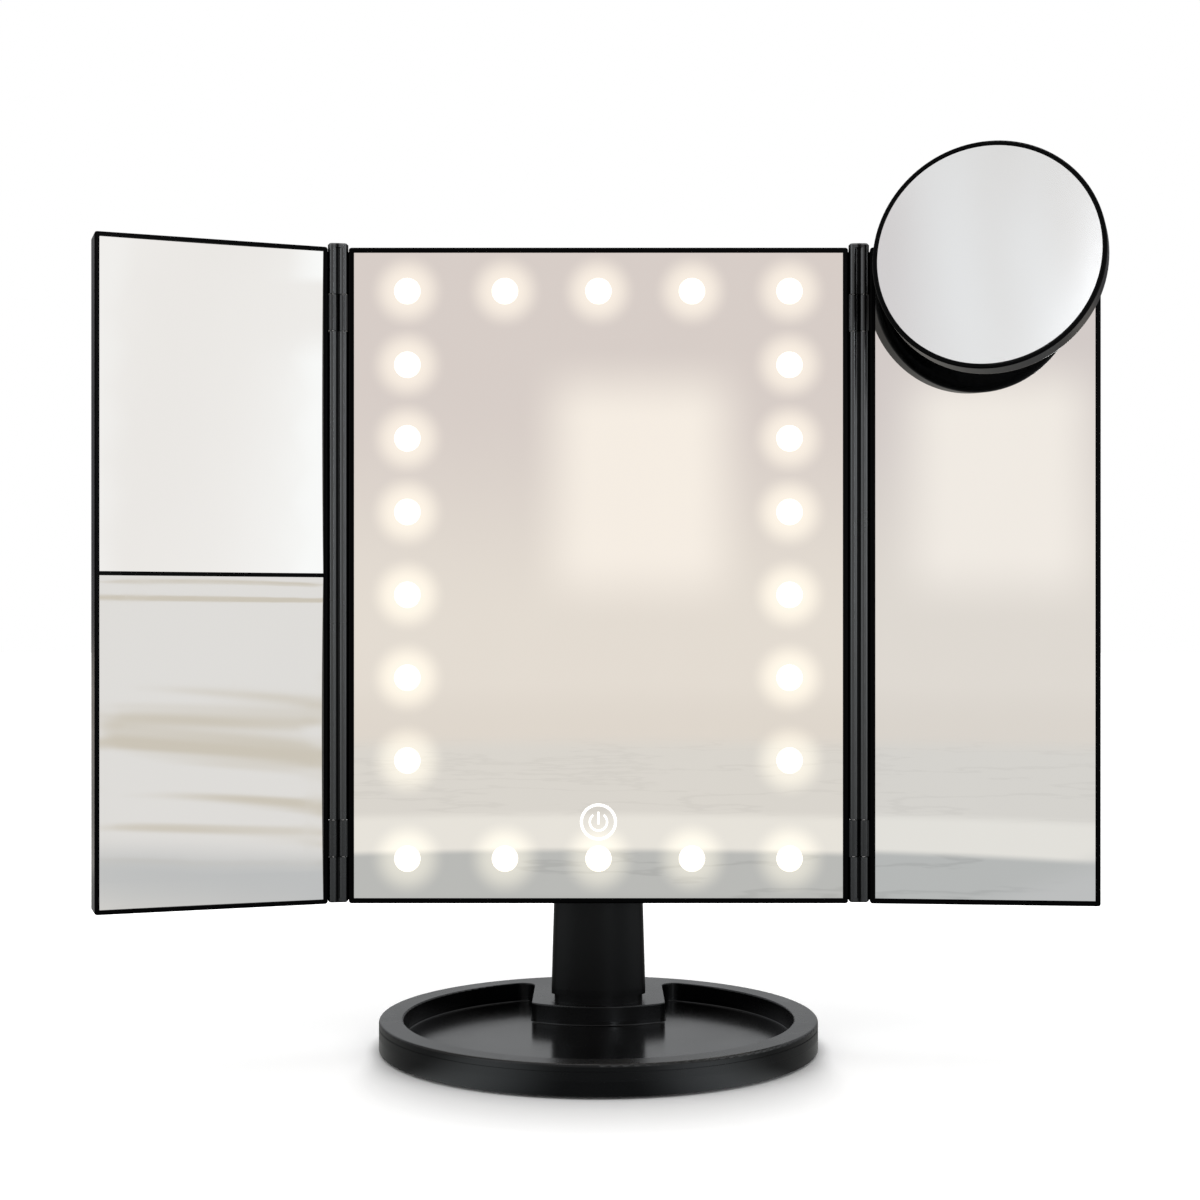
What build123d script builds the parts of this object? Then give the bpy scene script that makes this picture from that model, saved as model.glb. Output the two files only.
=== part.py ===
"""Lighted trifold vanity mirror on a round tray base.

Millimetres. X to the right, Y to the back, Z up. The origin is the centre of the
base's underside, on the table. The centre panel's front face lies in the plane Y = 0.
Each piece is written to parts/NAME.step in its place at rest.
"""
from build123d import *
from math import cos, hypot, radians, sin, sqrt
import os

# ---------------------------------------------------------------- driving sizes
# base
base_radius = 80.0
base_height = 11.5
rim_width = 8.8
rim_wall = 1.8
tray_floor = 2.0
tray_top_wall = 2.0
base_round = 0.9
recess_round = 0.5
pad_thickness = 1.0
pad_margin = 3.0
cover_thickness = 1.2
boss_width = 50.6
boss_front = 15.3
boss_bow = 7.8
boss_corner = 4.0
boss_flare = 5.0
weight_height = 5.0
weight_count = 3
base_screw_boss_radius = 2.5

# column
column_width = 33.4
column_depth = 24.0
column_bow = 5.4
column_corner = 3.6
column_wall = 1.8
column_height = 115.0
foot_flare = 1.1
foot_gap = 3.5
foot_straight = 2.0
foot_taper_height = 40.0
column_seam_depth = 12.6
column_top_round = 1.2
column_screw_boss_radius = 3.2
column_screw_boss_height = 7.5
column_screw_x = 10.6

# battery compartment
cell_radius = 5.25
cell_length = 44.5
cell_foot = 0.5
cell_tip_height = 1.0
cell_tip_radius = 1.9
cell_tip_gap = 0.1
cell_pitch = 11.0
cell_end_room = 2.2
tray_wall = 1.2
battery_lift = 11.0
door_inset = 0.4
door_overlap = 0.6
door_grip_count = 5
door_grip_pitch = 2.4
door_grip_width = 12.0
door_grip_depth = 0.5
contact_half = 4.4
contact_thickness = 0.4
coil_radius = 3.0
coil_bore = 2.2
coil_turns = 3
lead_radius = 0.9
lead_hole_radius = 1.1

# tilt hinge
tilt_rise = 10.5
tilt_forward = 1.4
gusset_height = 16.0
tilt_lug_width = 12.0
tilt_lug_radius = 8.0
tilt_ear_thickness = 4.0
tilt_ear_radius = 7.6
tilt_shaft_radius = 3.0
tilt_shaft_bore = 1.6
tilt_washer_radius = 6.0
tilt_washer_thickness = 0.5
tilt_cap_radius = 5.4
tilt_cap_height = 2.2
lug_plate_thickness = 3.0
bracket_plate = 2.5
bracket_width = 44.0
bracket_height = 44.0

# panels
panel_bottom = 52.4
panel_height = 240.6
panel_thickness = 13.0
centre_width = 183.2
wing_width = 83.0
panel_column_gap = 5.4
frame_wall = 1.7
frame_round = 0.6
frame_corner = 1.0
glass_recess = 0.3
glass_thickness = 2.0
diffuser_thickness = 1.5
ledge_width = 3.0
ledge_thickness = 1.6
back_cover_thickness = 1.8
divider_width = 1.4
pane_radius_upper = 1700.0
pane_radius_lower = 1150.0
foam_thickness = 1.0
panel_screw_boss_radius = 2.8
panel_screw_inset = 5.0

# lamps and electronics
lamp_side_inset = 21.5
lamp_row_pitch = 34.3
lamp_top_inset = 16.0
lamp_bottom = 16.4
lamp_pitch_upper = 27.0
lamp_pitch_lower = 30.4
lamp_steps_upper = 3
lamp_steps_lower = 3
lamp_board_width = 9.0
lamp_board_overhang = 8.0
board_thickness = 1.0
board_post_radius = 2.5
board_post_inset = 2.5
bracket_boss_radius = 3.0
post_offset = 14.0
led_size = (3.5, 1.6, 2.8)
led_depth = 6.6
touch_height = 29.9
touch_radius = 7.0
touch_foil = 0.3
control_board_tall = 22.0
control_board_height = 43.0
control_board_gap = 5.0
control_coil_inset = 10.0
control_cap_inset = 11.0
socket_board_size = (36.0, 12.0)
socket_board_gap = 1.6
socket_board_height = 34.0
socket_board_depth = 5.6
usb_size = (8.2, 3.4)
usb_shell = 0.5
usb_offset = 8.0
switch_body_size = (9.0, 4.0)
switch_offset = -7.0
switch_knob = (3.6, 2.2)
switch_rise = 1.4
switch_travel = 2.6

# double hinges between the panels
hinge_inset = 1.6
hinge_pitch = 3.8
hinge_lobe_radius = 1.85
hinge_knuckle_radius = 1.75
hinge_edge_gap = 2.15
hinge_web = 2.2
hinge_end = 17.0
hinge_knuckle_length = 13.8
hinge_rise = 1.6
hinge_pin_radius = 0.75
hinge_pin_grip = 11.0
hinge_crown = 1.6
hinge_crown_chamfer = 0.6
hinge_spine_gap = 0.2
hinge_spine_thickness = 0.8
hinge_spine_overlap = 0.9
hinge_lip = 1.0
knuckle_arm = 2.4
left_wing_angle = 20.0
right_wing_angle = 5.3

# round magnifier on the right wing
spot_radius = 40.5
spot_depth = 12.0
spot_wall = 1.6
spot_back_round = 3.4
spot_bezel_depth = 1.8
spot_bezel_width = 1.7
spot_glass_thickness = 1.8
spot_curve_radius = 220.0
spot_offset = 2.9
spot_reach = 20.0
spot_pan = 13.6
spot_tilt = 5.1
ball_radius = 4.5
liner_thickness = 1.0
collar_radius = 8.2
collar_back = 3.0
stem_radius = 2.3
stem_opening = 64.0
cup_radius = 12.0
cup_height = 2.8
cup_standoff = 13.0
cup_u = 43.6
cup_drop = 0.3
hub_radius = 5.6
hub_thickness = 2.4

# screws: shank radius, head radius, head height, length under the head
small_screw = (1.1, 2.1, 0.8, 5.0)
large_screw = (1.5, 2.8, 2.0, 9.0)
bracket_screw = (1.3, 2.5, 1.6, 4.2)

# clearances
fit = 0.02
running = 0.05
loose = 0.15
break_gap = 0.3
root = 0.1

# ---------------------------------------------------------------- derived places
far = 3 * base_radius
recess_radius = base_radius - rim_width
cover_bottom = pad_thickness
cover_top = cover_bottom + cover_thickness
floor_top = cover_top + tray_floor
channel_outer = base_radius - rim_wall
channel_inner = recess_radius + rim_wall
channel_mid = (channel_outer + channel_inner) / 2
column_bottom = base_height
column_top = column_bottom + column_height
column_front = panel_thickness + panel_column_gap
column_back = column_front + column_depth
column_seam = column_front + column_seam_depth
panel_back = panel_thickness
tilt_axis_y = column_front + column_depth / 2 - tilt_forward
tilt_height = column_top + tilt_rise
cover_inner = panel_thickness - back_cover_thickness
glass_back = glass_recess + glass_thickness
lamp_top = panel_height - lamp_top_inset
lamp_column = centre_width / 2 - lamp_side_inset
lamp_board_inner = lamp_column - lamp_board_width / 2
socket_board_x = lamp_board_inner - socket_board_gap - socket_board_size[0] / 2
control_board_half = socket_board_x - socket_board_size[0] / 2 - control_board_gap
diffuser_back = glass_back + diffuser_thickness
led_board_front = led_depth + led_size[1]
led_board_back = led_board_front + board_thickness
control_board_front = led_board_front
knuckle_spans = (
    (hinge_end, hinge_end + hinge_knuckle_length),
    (panel_height - hinge_end - hinge_knuckle_length, panel_height - hinge_end),
)
lamp_columns = (-lamp_column, lamp_column)
lamp_row = (-lamp_column, -lamp_row_pitch, 0.0, lamp_row_pitch, lamp_column)
lamp_side_heights = [lamp_top - lamp_pitch_upper * (i + 1) for i in range(lamp_steps_upper)]
lamp_side_heights += [
    lamp_side_heights[-1] - lamp_pitch_lower * (i + 1) for i in range(lamp_steps_lower)
]
lamp_points = [(u, w) for w in (lamp_top, lamp_bottom) for u in lamp_row]
lamp_points += [(u, w) for u in lamp_columns for w in lamp_side_heights]

pieces = {}


# ---------------------------------------------------------------- plain shapes
def block(x, y, z):
    """A box between the low and high values given for each axis."""
    size = [high - low for low, high in (x, y, z)]
    middle = [(high + low) / 2 for low, high in (x, y, z)]
    return Pos(*middle) * Box(*size)


def rod(axis, radius, low, high, at=(0.0, 0.0)):
    """A cylinder along an axis, at the two other coordinates in X, Y, Z order."""
    length = high - low
    middle = (high + low) / 2
    if axis == "X":
        return Pos(middle, *at) * Rot(0, 90, 0) * Cylinder(radius, length)
    if axis == "Y":
        return Pos(at[0], middle, at[1]) * Rot(90, 0, 0) * Cylinder(radius, length)
    return Pos(at[0], at[1], middle) * Cylinder(radius, length)


def tube(axis, radius, bore, low, high, at=(0.0, 0.0)):
    """A round tube along an axis."""
    return rod(axis, radius, low, high, at) - rod(axis, bore, low, high, at)


def screw(size):
    """A cross-head screw that points down -Z, with its head's underside at Z = 0."""
    shank, head, head_height, length = size
    body = rod("Z", shank, -length, 0) + rod("Z", head, 0, head_height)
    body = fillet(body.edges().group_by(Axis.Z)[-1], head_height * 0.3)
    slot = head * 0.55
    depth = (head_height * 0.4, head_height + 1)
    for turn in (0, 90):
        body -= Rot(0, 0, turn) * block((-slot, slot), (-0.25, 0.25), depth)
    return body


def prism(outline, low, high):
    """A plan outline raised from one height to another."""
    return Pos(0, 0, low) * extrude(outline, high - low, dir=(0, 0, 1))


def together(shapes):
    """Separate solids kept side by side in one node."""
    return Compound([s for shape in shapes for s in shape.solids()])


def add(name, shape):
    """Keeps a piece under its node's name, with every solid at its own final place."""
    solids = shape.solids()
    pieces[name] = solids[0] if len(solids) == 1 else Compound(solids)


# ---------------------------------------------------------------- base
def boss_outline(grow=0.0):
    """Plan of the raised boss that runs from the back of the rim to the column."""
    half = boss_width / 2 + grow
    front = boss_front - grow
    outline = Polyline(
        (-half, front + boss_bow), (-half, recess_radius), (half, recess_radius),
        (half, front + boss_bow),
    )
    bow = ThreePointArc((half, front + boss_bow), (0, front), (-half, front + boss_bow))
    return make_face([outline.edges(), bow.edges()])


def boss_block(low, high, grow=0.0):
    body = prism(boss_outline(grow), low, high)
    corners = body.edges().filter_by(Axis.Z).group_by(Axis.Y)[0]
    return fillet(corners, boss_corner + grow)


def base_tray():
    recess = rod("Z", recess_radius, floor_top, base_height + 1)
    recess -= boss_block(floor_top, base_height + 1)
    inner_corners = [
        e for e in recess.edges().filter_by(Axis.Z)
        if abs(abs(e.center().X) - boss_width / 2) < 0.2 and e.center().Y > column_back
    ]
    recess = fillet(inner_corners, boss_flare)
    recess = fillet(recess.edges().group_by(Axis.Z)[0], recess_round)
    body = rod("Z", base_radius, cover_bottom, base_height)
    body = fillet(body.edges().group_by(Axis.Z)[-1], base_round)
    body -= recess
    top_edges = [
        e for e in body.edges().group_by(Axis.Z)[-1]
        if hypot(e.center().X, e.center().Y) < recess_radius + 0.5
    ]
    body = fillet(top_edges, recess_round)
    underside = rod("Z", channel_outer, cover_bottom - 1, cover_top)
    channel_top = base_height - tray_top_wall
    underside += tube("Z", channel_outer, channel_inner, cover_top, channel_top)
    hollow = boss_block(cover_top, channel_top, -rim_wall)
    hollow &= rod("Z", recess_radius, cover_top, channel_top)
    body -= underside + hollow
    for angle in base_screw_angles():
        at = (channel_mid * cos(radians(angle)), channel_mid * sin(radians(angle)))
        body += rod("Z", base_screw_boss_radius, cover_top, channel_top, at)
        body -= rod("Z", small_screw[0] + fit, cover_top, channel_top - 1, at)
    for x, y in column_screw_points():
        body -= rod("Z", large_screw[0] + loose, floor_top, base_height + 1, (x, y))
    groove_low = base_height - 2.6
    groove = tube("Z", base_radius + 1, base_radius - 0.25, groove_low, groove_low + 0.4)
    return body - groove


def base_screw_angles():
    return [-90 + 360 / weight_count * i for i in range(weight_count)]


def base_cover():
    body = rod("Z", channel_outer - loose, cover_bottom, cover_top)
    for angle in base_screw_angles():
        at = (channel_mid * cos(radians(angle)), channel_mid * sin(radians(angle)))
        body -= rod("Z", small_screw[0] + loose, cover_bottom, cover_top, at)
        head = cover_bottom + small_screw[2]
        body -= rod("Z", small_screw[1] + loose, cover_bottom, head, at)
    return body


def base_weights():
    """Steel arcs that lie in the hollow rim between the screw bosses."""
    ring = tube("Z", channel_outer - loose, channel_inner + loose, cover_top,
                cover_top + weight_height)
    gap = base_screw_boss_radius + 0.5
    for angle in base_screw_angles():
        cut = block((0, base_radius), (-gap, gap), (cover_top - 1, base_height))
        ring -= Rot(0, 0, angle) * cut
    return together([ring])


def anti_slip_pad():
    body = rod("Z", channel_outer - pad_margin, 0, pad_thickness)
    return fillet(body.edges().group_by(Axis.Z)[0], 0.3)


def base_cover_screws():
    made = []
    for angle in base_screw_angles():
        at = (channel_mid * cos(radians(angle)), channel_mid * sin(radians(angle)))
        turned = Pos(*at, cover_bottom + small_screw[2]) * Rot(180, 0, 0)
        made.append(turned * screw(small_screw))
    return together(made)


# ---------------------------------------------------------------- column
def column_outline(grow=0.0, flare=0.0):
    """Plan of the column: flat sides and back, bowed front. The flare leaves the back alone."""
    half = column_width / 2 + grow + flare
    front = column_front - grow - flare
    back = column_back + grow
    outline = Polyline((-half, front + column_bow), (-half, back), (half, back),
                       (half, front + column_bow))
    bow = ThreePointArc((half, front + column_bow), (0, front), (-half, front + column_bow))
    face = make_face([outline.edges(), bow.edges()])
    return fillet(face.vertices(), column_corner + grow)


def foot_outline(height, flare):
    return Pos(0, 0, height) * column_outline(0, flare)


def column_screw_points():
    near = column_front + column_wall + column_screw_boss_radius + 1.2
    back = column_back - column_wall - column_screw_boss_radius
    return [(x, y) for x in (-column_screw_x, column_screw_x) for y in (near, back)]


battery_low = column_bottom + battery_lift
battery_inner_height = 2 * cell_length + 2 * cell_end_room
battery_high = battery_low + battery_inner_height + 2 * tray_wall
battery_half = cell_pitch / 2 + cell_radius + running
door_inner = column_back - column_wall
cell_y = door_inner - break_gap - cell_radius
battery_front = cell_y - cell_radius - running - tray_wall
door_half = battery_half + tray_wall - door_inset
door_low = battery_low - door_overlap
door_high = battery_high + door_overlap


def column_body():
    """The whole column before it is split into its two shells."""
    solid = prism(column_outline(), column_bottom, column_top)
    foot = column_bottom + foot_gap
    neck = foot + foot_straight
    solid += prism(column_outline(0, foot_flare), foot, neck)
    solid += loft([foot_outline(neck, foot_flare),
                   foot_outline(neck + foot_taper_height, fit)])
    solid = fillet(solid.faces().sort_by(Axis.Z)[-1].edges(), column_top_round)
    hollow_low = column_bottom + column_wall
    solid -= prism(column_outline(-column_wall), hollow_low, column_top - column_wall)
    for x, y in column_screw_points():
        high = hollow_low + column_screw_boss_height
        solid += rod("Z", column_screw_boss_radius, hollow_low - 0.5, high, (x, y))
        solid -= rod("Z", large_screw[0] + fit, column_bottom - 1, high + 1, (x, y))
    lug_slot = block(
        (-tilt_lug_width / 2 - loose, tilt_lug_width / 2 + loose),
        (tilt_axis_y - tilt_lug_radius - loose, tilt_axis_y + tilt_lug_radius + loose),
        (column_top - column_wall - 1, column_top + 1),
    )
    return solid - lug_slot


def column_front_shell(body):
    half = body & block((-far, far), (-far, column_seam), (-far, far))
    rib_front = column_front + column_wall - 0.5
    for x in (-battery_half * 0.55, battery_half * 0.55):
        half += block((x - 0.8, x + 0.8), (rib_front, battery_front),
                      (battery_low, battery_high))
    shelf = block((-column_width / 2 + 1, column_width / 2 - 1),
                  (rib_front, column_seam), (battery_low - 2.0, battery_low))
    shelf &= prism(column_outline(-1.0), battery_low - 2.0, battery_low)
    return half + shelf


def column_rear_shell(body):
    half = body & block((-far, far), (column_seam, far), (-far, far))
    opening = block((-door_half - loose, door_half + loose), (door_inner - 1, far),
                    (door_low - loose, door_high + loose))
    return half - opening


def battery_tray():
    outer = battery_half + tray_wall
    body = block((-outer, outer), (battery_front, cell_y + cell_radius - 0.4),
                 (battery_low, battery_high))
    inner = block((-battery_half, battery_half), (battery_front + tray_wall, column_back),
                  (battery_low + tray_wall, battery_high - tray_wall))
    body -= inner
    middle = (battery_low + battery_high) / 2
    rib = block((-0.4, 0.4), (battery_front + tray_wall, cell_y - 2.0),
                (battery_low + tray_wall, battery_high - tray_wall))
    stop = block((-battery_half, battery_half), (battery_front + tray_wall, cell_y - 4.0),
                 (middle - 0.4, middle + 0.4))
    lead_hole = rod("Z", lead_hole_radius, battery_high - tray_wall - 1, battery_high + 1,
                    (0, tilt_axis_y))
    return body + rib + (stop & inner) - lead_hole


def battery_cells():
    """Four AAA cells in two stacks, each with its raised positive end."""
    made = []
    middle = (battery_low + battery_high) / 2
    for side in (-1, 1):
        for low in (middle - cell_length, middle):
            x = side * cell_pitch / 2
            high = low + cell_length
            can = rod("Z", cell_radius, low + cell_foot, high - cell_tip_height, (x, cell_y))
            can = fillet(can.edges(), cell_foot)
            tip = rod("Z", cell_tip_radius, high - cell_tip_height - fit, high - cell_tip_gap,
                      (x, cell_y))
            made.append(can + tip)
    return together(made)


def battery_contacts():
    """Plated end plates with a coil at each stack's negative end."""
    made = []
    inner_low = battery_low + tray_wall
    inner_high = battery_high - tray_wall
    middle = (battery_low + battery_high) / 2
    for side in (-1, 1):
        x = side * cell_pitch / 2
        plate_x = (x - contact_half, x + contact_half)
        plate_y = (cell_y - contact_half, cell_y + contact_half)
        plate_top = inner_low + contact_thickness
        bottom = block(plate_x, plate_y, (inner_low, plate_top))
        step = (middle - cell_length + cell_foot - plate_top) / coil_turns
        for i in range(coil_turns):
            low = plate_top + step * i
            bottom += tube("Z", coil_radius, coil_bore, low, low + step, (x, cell_y))
            if i < coil_turns - 1:
                groove = (coil_radius + loose, coil_radius - contact_thickness / 2)
                bottom -= tube("Z", *groove, low + step * 0.6, low + step, (x, cell_y))
        made.append(bottom)
        plate_bottom = inner_high - contact_thickness
        top = block(plate_x, plate_y, (plate_bottom, inner_high))
        top += rod("Z", coil_bore, middle + cell_length - cell_tip_gap, plate_bottom,
                   (x, cell_y))
        made.append(top)
    return together(made)


def battery_door():
    body = block((-door_half, door_half), (door_inner, column_back), (door_low, door_high))
    edges = body.edges().filter_by(Axis.Z).group_by(Axis.Y)[-1]
    body = fillet(edges, 0.5)
    half = door_grip_width / 2
    for i in range(door_grip_count):
        z = door_high - door_grip_pitch * (i + 3)
        body -= block((-half, half), (column_back - door_grip_depth, far),
                      (z - door_grip_pitch / 4, z + door_grip_pitch / 4))
    return body


def column_screws():
    made = []
    for x, y in column_screw_points():
        seat = Pos(x, y, base_height - tray_top_wall) * Rot(180, 0, 0)
        made.append(seat * screw(large_screw))
    return together(made)


# ---------------------------------------------------------------- tilt hinge
def tilt_lug():
    """Cast lug that stands out of the column's top and carries the head."""
    half = tilt_lug_width / 2
    plate_high = column_top - column_wall
    plate_low = plate_high - lug_plate_thickness
    plate = prism(column_outline(-column_wall - loose), plate_low, plate_high)
    neck = block((-half, half),
                 (tilt_axis_y - tilt_lug_radius, tilt_axis_y + tilt_lug_radius),
                 (plate_low, tilt_height))
    eye = rod("X", tilt_lug_radius, -half, half, (tilt_axis_y, tilt_height))
    body = plate + neck + eye
    body -= rod("X", tilt_shaft_radius + running, -half, half, (tilt_axis_y, tilt_height))
    return body - rod("Z", lead_hole_radius, plate_low - 1, tilt_height, (0, tilt_axis_y))


def ear_inner():
    return tilt_lug_width / 2 + running + tilt_washer_thickness


def tilt_bracket():
    """Plate on the back cover with two ears that straddle the lug."""
    plate = block((-bracket_width / 2, bracket_width / 2),
                  (panel_back, panel_back + bracket_plate),
                  (tilt_height - bracket_height / 2, tilt_height + bracket_height / 2))
    plate = fillet(plate.edges().filter_by(Axis.Y), 4.0)
    body = fillet(plate.edges().group_by(Axis.Y)[-1], 0.6)
    for side in (-1, 1):
        span = sorted((side * ear_inner(), side * (ear_inner() + tilt_ear_thickness)))
        ear = rod("X", tilt_ear_radius, *span, (tilt_axis_y, tilt_height))
        ear += block(span, (panel_back, tilt_axis_y),
                     (tilt_height - tilt_ear_radius, tilt_height + tilt_ear_radius))
        gusset = Plane.YZ * make_face(Polyline(
            (panel_back, tilt_height), (panel_back, tilt_height + gusset_height),
            (tilt_axis_y - 4, tilt_height + tilt_ear_radius * 0.8),
            (tilt_axis_y - 4, tilt_height), close=True,
        ))
        ear += Pos(span[0], 0, 0) * extrude(gusset, tilt_ear_thickness)
        body += ear
    bore = tilt_shaft_radius + fit
    body -= rod("X", bore, -bracket_width, bracket_width, (tilt_axis_y, tilt_height))
    for x, z in bracket_screw_points():
        body -= rod("Y", bracket_screw[0] + loose, panel_back, panel_back + 5, (x, z))
    return body


def bracket_screw_points():
    dx = bracket_width / 2 - 5.5
    dz = bracket_height / 2 - 5.5
    return [(x, tilt_height + z) for x in (-dx, dx) for z in (-dz, dz)]


def tilt_shaft():
    reach = ear_inner() + tilt_ear_thickness + 1.0
    at = (tilt_axis_y, tilt_height)
    return tube("X", tilt_shaft_radius, tilt_shaft_bore, -reach, reach, at)


def tilt_washers():
    at = (tilt_axis_y, tilt_height)
    inner = tilt_lug_width / 2 + running
    made = [
        tube("X", tilt_washer_radius, tilt_shaft_radius + loose,
             *sorted((side * inner, side * (inner + tilt_washer_thickness))), at)
        for side in (-1, 1)
    ]
    return together(made)


def tilt_caps():
    start = ear_inner() + tilt_ear_thickness
    at = (tilt_axis_y, tilt_height)
    cap = rod("X", tilt_cap_radius, start, start + tilt_cap_height, at)
    cap = fillet(cap.edges().group_by(Axis.X)[-1], 1.4)
    cap -= rod("X", tilt_shaft_radius + fit, start - 1, start + 1.1, at)
    return together([cap, mirror(cap, about=Plane.YZ)])


def bracket_screws():
    made = [
        Pos(x, panel_back + bracket_plate, z) * Rot(-90, 0, 0) * screw(bracket_screw)
        for x, z in bracket_screw_points()
    ]
    return together(made)


# ---------------------------------------------------------------- panels
# Panel pieces are drawn with their front face at Y = 0, their bottom edge at Z = 0 and
# their left edge at X = 0, then put in place.
def panel_screw_points(width, rows):
    inset = frame_wall + panel_screw_inset
    heights = [inset + (panel_height - 2 * inset) * i / (rows - 1) for i in range(rows)]
    return [(x, z) for x in (inset, width - inset) for z in heights]


def panel_frame(width, rows, ledge_front):
    """Four-sided moulded frame with an inner ledge and screw bosses."""
    body = block((0, width), (0, panel_thickness), (0, panel_height))
    body = fillet(body.edges().filter_by(Axis.Y), frame_corner)
    body = fillet(body.edges().group_by(Axis.Y)[0], frame_round)
    body = fillet(body.edges().group_by(Axis.Y)[-1], frame_round)
    inner_x = (frame_wall, width - frame_wall)
    inner_z = (frame_wall, panel_height - frame_wall)
    body -= block(inner_x, (-1, panel_thickness + 1), inner_z)
    ledge = block(inner_x, (ledge_front, ledge_front + ledge_thickness), inner_z)
    ledge -= block((inner_x[0] + ledge_width, inner_x[1] - ledge_width),
                   (0, panel_thickness),
                   (inner_z[0] + ledge_width, inner_z[1] - ledge_width))
    body += ledge
    for x, z in panel_screw_points(width, rows):
        out = inner_x[0] - 0.5 if x < width / 2 else inner_x[1] + 0.5
        body += rod("Y", panel_screw_boss_radius, ledge_front, cover_inner, (x, z))
        body += block(sorted((out, x)), (ledge_front, cover_inner), (z - 1.0, z + 1.0))
        tip = panel_thickness - small_screw[2] - small_screw[3] - 0.6
        body -= rod("Y", small_screw[0] + fit, tip, cover_inner + 1, (x, z))
    return body


def panel_cover(width, rows):
    """Back cover that drops inside the frame's walls."""
    edge = frame_wall + loose
    body = block((edge, width - edge), (cover_inner, panel_thickness),
                 (edge, panel_height - edge))
    for x, z in panel_screw_points(width, rows):
        body -= rod("Y", small_screw[0] + loose, cover_inner, panel_thickness, (x, z))
        body -= rod("Y", small_screw[1] + loose, panel_thickness - small_screw[2] - 0.2,
                    panel_thickness, (x, z))
    return body


def panel_screws(width, rows):
    head_seat = panel_thickness - small_screw[2] - 0.2 + fit
    return together([
        Pos(x, head_seat, z) * Rot(-90, 0, 0) * screw(small_screw)
        for x, z in panel_screw_points(width, rows)
    ])


def flat_glass(width, low, high):
    edge = frame_wall + running
    body = block((edge, width - edge), (glass_recess, glass_back), (low, high))
    return chamfer(body.edges().group_by(Axis.Y)[0], 0.2)


def curved_glass(width, low, high, curve):
    """A pane pressed to a shallow dish: the same thickness all over, deepest in the middle."""
    edge = frame_wall + running
    half = (width / 2 - edge, (high - low) / 2)
    corner = hypot(*half)
    drop = sqrt(curve ** 2 - corner ** 2)
    middle = Pos(width / 2, glass_recess - drop, (low + high) / 2)
    shell = middle * Sphere(curve + glass_thickness) - middle * Sphere(curve)
    reach = curve - drop + glass_thickness + 1
    pane = block((edge, width - edge), (glass_recess - 0.01, glass_recess + reach), (low, high))
    return shell & pane


def foam_strips(width, front, spans):
    """Foam tape that carries a pane's edges, between the glass and the ledge."""
    made = []
    edge = frame_wall + 0.4
    for low, high in spans:
        for x in ((edge, edge + 2.2), (width - edge - 2.2, width - edge)):
            made.append(block(x, (front, front + foam_thickness), (low + 6, high - 6)))
    return together(made)


def knuckles(outward):
    """Hinge knuckles on a panel's edge at X = 0, with the hinge axis outside it."""
    made = []
    axis_x = outward * hinge_edge_gap
    wall_x = -outward * 0.6
    for low, high in knuckle_spans:
        span = (low + break_gap, high - break_gap)
        body = rod("Z", hinge_knuckle_radius, *span, (axis_x, hinge_inset))
        arm = (hinge_inset - knuckle_arm / 2, hinge_inset + knuckle_arm / 2)
        body += block(sorted((wall_x, axis_x)), arm, span)
        made.append((body, rod("Z", hinge_pin_radius + running, *span, (axis_x, hinge_inset))))
    return made


def frame_with_knuckles(body, edges):
    """Adds knuckles, and a lip behind them, at the panel edges given as (x, outward)."""
    lip_front = hinge_inset + hinge_lobe_radius + break_gap
    for x, outward in edges:
        reach = sorted((x - outward * frame_wall / 2, x + outward * hinge_lip))
        body += block(reach, (lip_front, panel_thickness - frame_round),
                      (frame_corner, panel_height - frame_corner))
        for knuckle, bore in knuckles(outward):
            body += Pos(x, 0, 0) * knuckle
            body -= Pos(x, 0, 0) * bore
    return body


# ---------------------------------------------------------------- centre panel
def place_centre(shape):
    return Pos(-centre_width / 2, 0, panel_bottom) * shape


def centre_panel():
    rows = 3
    ledge_front = diffuser_back
    frame = panel_frame(centre_width, rows, ledge_front)
    frame = frame_with_knuckles(frame, [(0, -1), (centre_width, 1)])
    add("centre_frame", place_centre(frame))
    low = frame_wall + running
    high = panel_height - low
    add("centre_mirror", place_centre(flat_glass(centre_width, low, high)))
    sheet = block((low, centre_width - low), (glass_back, diffuser_back), (low, high))
    sheet -= rod("Y", touch_radius + 1, glass_back, diffuser_back,
                 (centre_width / 2, touch_height))
    add("light_diffuser", place_centre(sheet))
    add("touch_pad", touch_pad())
    add("led_boards", led_boards())
    add("leds", leds())
    add("control_board", control_board())
    add("lamp_leads", lamp_leads())
    add("socket_board", socket_board())
    add("usb_socket", usb_socket())
    add("power_switch_body", power_switch_body())
    add("power_switch_knob", power_switch_knob())
    add("centre_back_cover", centre_back_cover(rows))
    add("centre_cover_screws", place_centre(panel_screws(centre_width, rows)))


def touch_pad():
    centre = (0, panel_bottom + touch_height)
    foil = rod("Y", touch_radius, glass_back, glass_back + touch_foil, centre)
    tab = block((-1.2, 1.2), (glass_back, control_board_front),
                (centre[1] - 1.2, centre[1] + 1.2))
    return foil + tab


def led_boards():
    """Narrow strips behind the lamps: two at the sides, one at the top, one at the bottom."""
    half = lamp_board_width / 2
    depth = (led_board_front, led_board_back)
    low = panel_bottom + lamp_bottom - lamp_board_overhang
    high = panel_bottom + lamp_top + lamp_board_overhang
    made = [block((u - half, u + half), depth, (low, high)) for u in lamp_columns]
    between = (-lamp_board_inner + 0.5, lamp_board_inner - 0.5)
    for w in (lamp_bottom, lamp_top):
        z = panel_bottom + w
        made.append(block(between, depth, (z - half, z + half)))
    return together(made)


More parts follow.
